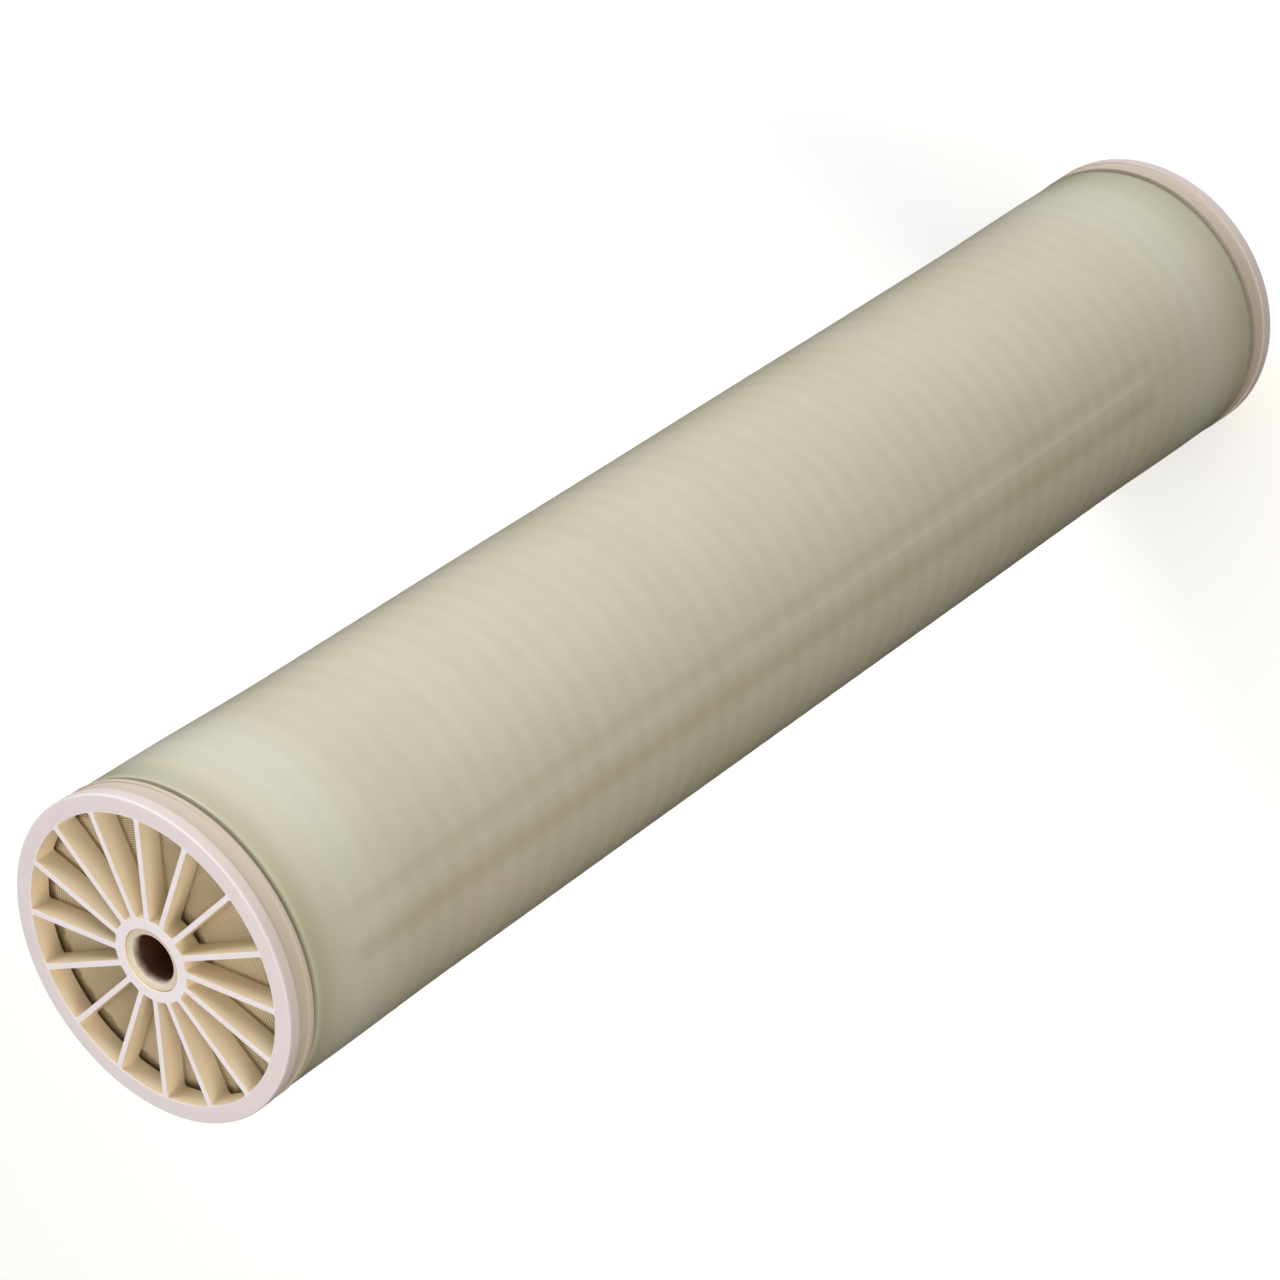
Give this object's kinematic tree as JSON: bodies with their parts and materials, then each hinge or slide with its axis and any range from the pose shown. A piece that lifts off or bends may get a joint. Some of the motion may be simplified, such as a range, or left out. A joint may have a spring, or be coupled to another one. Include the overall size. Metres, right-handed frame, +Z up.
{
  "type": "ro membrane element",
  "caption": "Long spiral-wound water filter element: a perforated core tube in wound membrane leaves, with spoked end caps and a smooth pale glass fibre shell.",
  "frame": {"origin": "centre of the lower end face, on the axis of the permeate tube, where the element stands on the floor", "axes": "+Z up along the permeate tube towards the other end; +X and +Y across the element, with the wrapping film's free edge 16 degrees from +X towards +Y"},
  "size_m": [0.201, 0.201, 1.016],
  "materials": {
    "cap_plastic": "moulded ivory plastic, satin",
    "glass_resin": "wound glass fibre in clear resin, slightly milky, satin gloss",
    "tube_plastic": "extruded cream plastic",
    "permeate_cloth": "knitted polyester cloth set in epoxy",
    "membrane": "cast membrane on polyester backing, cut edge",
    "spacer_net": "extruded plastic net",
    "film": "thin clear film, milky",
    "tape": "glass filament tape"
  },
  "bodies": {
    "root": {"bottom_end_cap": "cap_plastic", "bottom_end_tape": "tape", "core_wrap": "permeate_cloth", "feed_spacer_01": "spacer_net", "feed_spacer_02": "spacer_net", "feed_spacer_03": "spacer_net", "feed_spacer_04": "spacer_net", "feed_spacer_05": "spacer_net", "feed_spacer_06": "spacer_net", "feed_spacer_07": "spacer_net", "feed_spacer_08": "spacer_net", "feed_spacer_09": "spacer_net", "feed_spacer_10": "spacer_net", "feed_spacer_11": "spacer_net", "feed_spacer_12": "spacer_net", "feed_spacer_13": "spacer_net", "feed_spacer_14": "spacer_net", "feed_spacer_15": "spacer_net", "feed_spacer_16": "spacer_net", "feed_spacer_17": "spacer_net", "feed_spacer_18": "spacer_net", "feed_spacer_19": "spacer_net", "feed_spacer_20": "spacer_net", "glass_shell": "glass_resin", "membrane_leaf_01": "membrane", "membrane_leaf_02": "membrane", "membrane_leaf_03": "membrane", "membrane_leaf_04": "membrane", "membrane_leaf_05": "membrane", "membrane_leaf_06": "membrane", "membrane_leaf_07": "membrane", "membrane_leaf_08": "membrane", "membrane_leaf_09": "membrane", "membrane_leaf_10": "membrane", "membrane_leaf_11": "membrane", "membrane_leaf_12": "membrane", "membrane_leaf_13": "membrane", "membrane_leaf_14": "membrane", "membrane_leaf_15": "membrane", "membrane_leaf_16": "membrane", "membrane_leaf_17": "membrane", "membrane_leaf_18": "membrane", "membrane_leaf_19": "membrane", "membrane_leaf_20": "membrane", "permeate_tube": "tube_plastic", "top_end_cap": "cap_plastic", "top_end_tape": "tape", "wrap_film": "film"}
  },
  "joints": []
}
